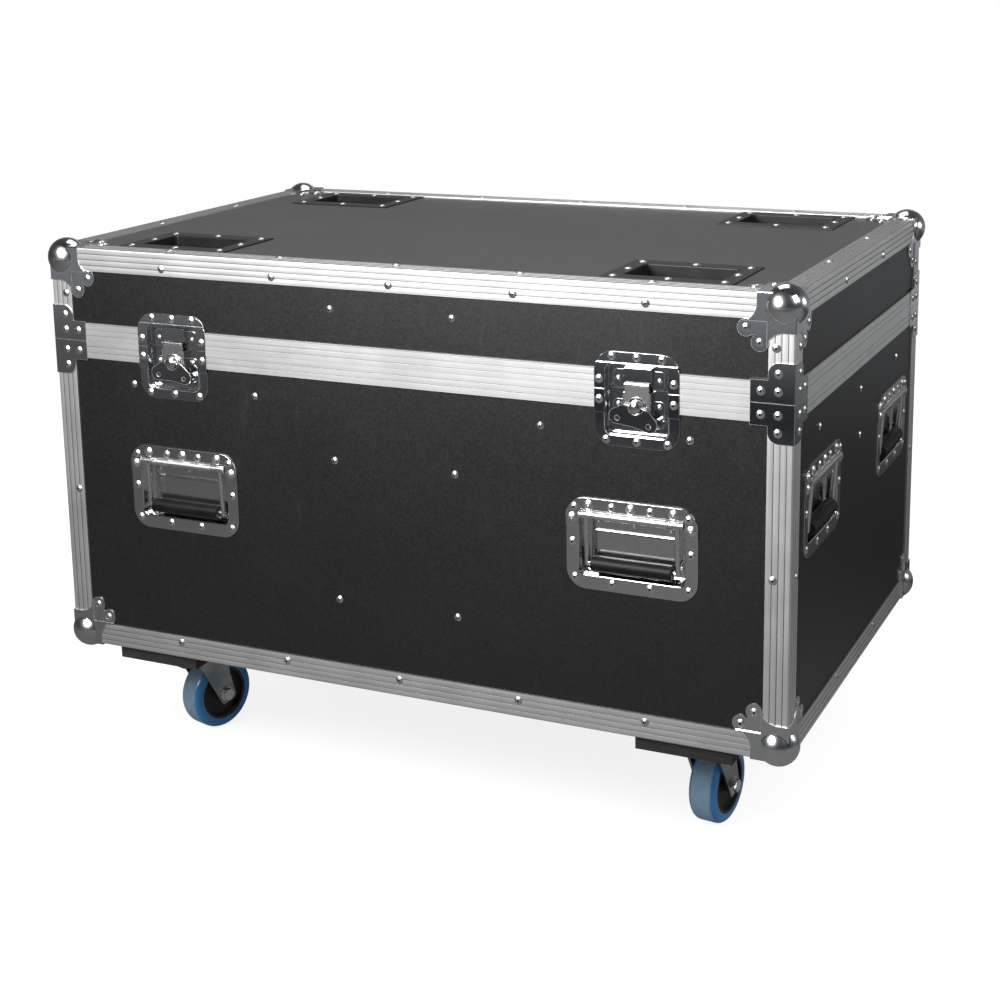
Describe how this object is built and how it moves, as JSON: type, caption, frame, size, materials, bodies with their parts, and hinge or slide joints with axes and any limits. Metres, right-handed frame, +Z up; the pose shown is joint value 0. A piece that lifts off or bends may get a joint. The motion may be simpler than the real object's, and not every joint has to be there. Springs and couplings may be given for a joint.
{
  "type": "lighting flight case",
  "caption": "Wheeled road case with a lift-off lid, ball corners, turning latches, spring handles, stacking dishes and a partitioned inside.",
  "frame": {"origin": "on the floor under the middle of the case's outline", "axes": "+X along the width to the right seen from the front, +Y to the back, +Z up; the front with its two latches faces -Y"},
  "size_m": [1.0198, 0.6498, 0.705],
  "materials": {
    "laminate": "fine textured dark laminate on plywood",
    "aluminium_profile": "satin anodised, ribbed along its length",
    "zinc_steel": "bright plated pressed sheet",
    "bright_steel": "bright plated",
    "black_dish": "black powder coat",
    "caster_wood": "black coated plywood with bare layered edges",
    "caster_steel": "zinc plated",
    "hub_plastic": "matt moulded",
    "blue_tyre": "smooth elastic rubber",
    "grip_rubber": "satin moulded",
    "inner_wood": "sanded birch plywood",
    "foam": "closed cell foam sheet"
  },
  "bodies": {
    "base": {"base_panels": "laminate", "base_edge_profiles": "aluminium_profile", "base_closing_profiles": "aluminium_profile", "base_ball_corners": "zinc_steel", "base_braces": "zinc_steel", "handle_dishes": "zinc_steel", "latch_base_dishes": "zinc_steel", "caster_boards": "caster_wood", "caster_plates": "caster_steel", "base_fasteners": "bright_steel", "base_partitions": "inner_wood", "base_foam": "foam"},
    "lid": {"lid_panels": "laminate", "lid_edge_profiles": "aluminium_profile", "lid_closing_profiles": "aluminium_profile", "lid_ball_corners": "zinc_steel", "lid_braces": "zinc_steel", "latch_lid_dishes": "zinc_steel", "stacking_dishes": "black_dish", "lid_fasteners": "bright_steel"},
    "handle_front_left": {"handle_bail_front_left": "bright_steel", "handle_grip_front_left": "grip_rubber"},
    "handle_front_right": {"handle_bail_front_right": "bright_steel", "handle_grip_front_right": "grip_rubber"},
    "handle_right_front": {"handle_bail_right_front": "bright_steel", "handle_grip_right_front": "grip_rubber"},
    "handle_right_back": {"handle_bail_right_back": "bright_steel", "handle_grip_right_back": "grip_rubber"},
    "handle_back_right": {"handle_bail_back_right": "bright_steel", "handle_grip_back_right": "grip_rubber"},
    "handle_back_left": {"handle_bail_back_left": "bright_steel", "handle_grip_back_left": "grip_rubber"},
    "handle_left_back": {"handle_bail_left_back": "bright_steel", "handle_grip_left_back": "grip_rubber"},
    "handle_left_front": {"handle_bail_left_front": "bright_steel", "handle_grip_left_front": "grip_rubber"},
    "latch_key_front_left": {"latch_key_front_left": "bright_steel"},
    "latch_hook_front_left": {"latch_hook_front_left": "bright_steel"},
    "latch_wing_front_left": {"latch_wing_front_left": "bright_steel"},
    "latch_key_front_right": {"latch_key_front_right": "bright_steel"},
    "latch_hook_front_right": {"latch_hook_front_right": "bright_steel"},
    "latch_wing_front_right": {"latch_wing_front_right": "bright_steel"},
    "latch_key_back_right": {"latch_key_back_right": "bright_steel"},
    "latch_hook_back_right": {"latch_hook_back_right": "bright_steel"},
    "latch_wing_back_right": {"latch_wing_back_right": "bright_steel"},
    "latch_key_back_left": {"latch_key_back_left": "bright_steel"},
    "latch_hook_back_left": {"latch_hook_back_left": "bright_steel"},
    "latch_wing_back_left": {"latch_wing_back_left": "bright_steel"},
    "caster_fork_front_left": {"caster_fork_front_left": "caster_steel"},
    "caster_wheel_front_left": {"caster_hub_front_left": "hub_plastic", "caster_tyre_front_left": "blue_tyre"},
    "caster_fork_front_right": {"caster_fork_front_right": "caster_steel"},
    "caster_wheel_front_right": {"caster_hub_front_right": "hub_plastic", "caster_tyre_front_right": "blue_tyre"},
    "caster_fork_back_left": {"caster_fork_back_left": "caster_steel"},
    "caster_wheel_back_left": {"caster_hub_back_left": "hub_plastic", "caster_tyre_back_left": "blue_tyre"},
    "caster_fork_back_right": {"caster_fork_back_right": "caster_steel"},
    "caster_wheel_back_right": {"caster_hub_back_right": "hub_plastic", "caster_tyre_back_right": "blue_tyre"}
  },
  "joints": [
    {"name": "lid_lift", "type": "slide", "parent": "base", "child": "lid", "axis": [0, 0, 1], "range_m": [0, 0.25]},
    {"name": "handle_front_left_swing", "type": "hinge", "parent": "base", "child": "handle_front_left", "pos_m": [-0.3096, -0.3144, 0.4182], "axis": [-1, 0, 0], "range_deg": [0, 90], "stiffness_Nm_per_rad": 0.4, "springref_deg": -17.19},
    {"name": "handle_front_right_swing", "type": "hinge", "parent": "base", "child": "handle_front_right", "pos_m": [0.3096, -0.3144, 0.4182], "axis": [-1, 0, 0], "range_deg": [0, 90], "stiffness_Nm_per_rad": 0.4, "springref_deg": -17.19},
    {"name": "handle_right_front_swing", "type": "hinge", "parent": "base", "child": "handle_right_front", "pos_m": [0.4994, -0.178, 0.4635], "axis": [0, -1, 0], "range_deg": [0, 90], "stiffness_Nm_per_rad": 0.4, "springref_deg": -17.19},
    {"name": "handle_right_back_swing", "type": "hinge", "parent": "base", "child": "handle_right_back", "pos_m": [0.4994, 0.178, 0.4635], "axis": [0, -1, 0], "range_deg": [0, 90], "stiffness_Nm_per_rad": 0.4, "springref_deg": -17.19},
    {"name": "handle_back_right_swing", "type": "hinge", "parent": "base", "child": "handle_back_right", "pos_m": [0.3096, 0.3144, 0.4182], "axis": [1, 0, 0], "range_deg": [0, 90], "stiffness_Nm_per_rad": 0.4, "springref_deg": -17.19},
    {"name": "handle_back_left_swing", "type": "hinge", "parent": "base", "child": "handle_back_left", "pos_m": [-0.3096, 0.3144, 0.4182], "axis": [1, 0, 0], "range_deg": [0, 90], "stiffness_Nm_per_rad": 0.4, "springref_deg": -17.19},
    {"name": "handle_left_back_swing", "type": "hinge", "parent": "base", "child": "handle_left_back", "pos_m": [-0.4994, 0.178, 0.4635], "axis": [0, 1, 0], "range_deg": [0, 90], "stiffness_Nm_per_rad": 0.4, "springref_deg": -17.19},
    {"name": "handle_left_front_swing", "type": "hinge", "parent": "base", "child": "handle_left_front", "pos_m": [-0.4994, -0.178, 0.4635], "axis": [0, 1, 0], "range_deg": [0, 90], "stiffness_Nm_per_rad": 0.4, "springref_deg": -17.19},
    {"name": "latch_key_front_left_turn", "type": "hinge", "parent": "base", "child": "latch_key_front_left", "pos_m": [-0.3164, -0.315, 0.5533], "axis": [0, -1, 0], "range_deg": [0, 180]},
    {"name": "latch_hook_front_left_slide", "type": "slide", "parent": "base", "child": "latch_hook_front_left", "axis": [0, 0, 1], "range_m": [0, 0.008]},
    {"name": "latch_wing_front_left_fold", "type": "hinge", "parent": "latch_key_front_left", "child": "latch_wing_front_left", "pos_m": [-0.3164, -0.3179, 0.5533], "axis": [-0.9969, 0, 0.0785], "range_deg": [0, 90]},
    {"name": "latch_key_front_right_turn", "type": "hinge", "parent": "base", "child": "latch_key_front_right", "pos_m": [0.3164, -0.315, 0.5533], "axis": [0, -1, 0], "range_deg": [0, 180]},
    {"name": "latch_hook_front_right_slide", "type": "slide", "parent": "base", "child": "latch_hook_front_right", "axis": [0, 0, 1], "range_m": [0, 0.008]},
    {"name": "latch_wing_front_right_fold", "type": "hinge", "parent": "latch_key_front_right", "child": "latch_wing_front_right", "pos_m": [0.3164, -0.3179, 0.5533], "axis": [-0.9816, 0, 0.1908], "range_deg": [0, 90]},
    {"name": "latch_key_back_right_turn", "type": "hinge", "parent": "base", "child": "latch_key_back_right", "pos_m": [0.3164, 0.315, 0.5533], "axis": [0, 1, 0], "range_deg": [0, 180]},
    {"name": "latch_hook_back_right_slide", "type": "slide", "parent": "base", "child": "latch_hook_back_right", "axis": [0, 0, 1], "range_m": [0, 0.008]},
    {"name": "latch_wing_back_right_fold", "type": "hinge", "parent": "latch_key_back_right", "child": "latch_wing_back_right", "pos_m": [0.3164, 0.3179, 0.5533], "axis": [0.9903, 0, 0.1392], "range_deg": [0, 90]},
    {"name": "latch_key_back_left_turn", "type": "hinge", "parent": "base", "child": "latch_key_back_left", "pos_m": [-0.3164, 0.315, 0.5533], "axis": [0, 1, 0], "range_deg": [0, 180]},
    {"name": "latch_hook_back_left_slide", "type": "slide", "parent": "base", "child": "latch_hook_back_left", "axis": [0, 0, 1], "range_m": [0, 0.008]},
    {"name": "latch_wing_back_left_fold", "type": "hinge", "parent": "latch_key_back_left", "child": "latch_wing_back_left", "pos_m": [-0.3164, 0.3179, 0.5533], "axis": [0.9945, 0, 0.1045], "range_deg": [0, 90]},
    {"name": "caster_front_left_swivel", "type": "hinge", "parent": "base", "child": "caster_fork_front_left", "pos_m": [-0.372, -0.224, 0.12], "axis": [0, 0, 1], "continuous": true},
    {"name": "caster_front_left_roll", "type": "hinge", "parent": "caster_fork_front_left", "child": "caster_wheel_front_left", "pos_m": [-0.36177, -0.19053, 0.05], "axis": [-0.9563, 0.2924, 0], "continuous": true},
    {"name": "caster_front_right_swivel", "type": "hinge", "parent": "base", "child": "caster_fork_front_right", "pos_m": [0.372, -0.224, 0.12], "axis": [0, 0, 1], "continuous": true},
    {"name": "caster_front_right_roll", "type": "hinge", "parent": "caster_fork_front_right", "child": "caster_wheel_front_right", "pos_m": [0.37627, -0.18926, 0.05], "axis": [-0.9925, 0.1219, 0], "continuous": true},
    {"name": "caster_back_left_swivel", "type": "hinge", "parent": "base", "child": "caster_fork_back_left", "pos_m": [-0.372, 0.224, 0.12], "axis": [0, 0, 1], "continuous": true},
    {"name": "caster_back_left_roll", "type": "hinge", "parent": "caster_fork_back_left", "child": "caster_wheel_back_left", "pos_m": [-0.36472, 0.25824, 0.05], "axis": [-0.9781, 0.2079, 0], "continuous": true},
    {"name": "caster_back_right_swivel", "type": "hinge", "parent": "base", "child": "caster_fork_back_right", "pos_m": [0.372, 0.224, 0.12], "axis": [0, 0, 1], "continuous": true},
    {"name": "caster_back_right_roll", "type": "hinge", "parent": "caster_fork_back_right", "child": "caster_wheel_back_right", "pos_m": [0.38511, 0.25645, 0.05], "axis": [-0.9272, 0.3746, 0], "continuous": true}
  ],
  "couplings": [
    {"joint": "latch_hook_front_left_slide", "follows": "latch_key_front_left_turn", "m_per_rad": 0.002546},
    {"joint": "latch_hook_front_right_slide", "follows": "latch_key_front_right_turn", "m_per_rad": 0.002546},
    {"joint": "latch_hook_back_right_slide", "follows": "latch_key_back_right_turn", "m_per_rad": 0.002546},
    {"joint": "latch_hook_back_left_slide", "follows": "latch_key_back_left_turn", "m_per_rad": 0.002546}
  ]
}
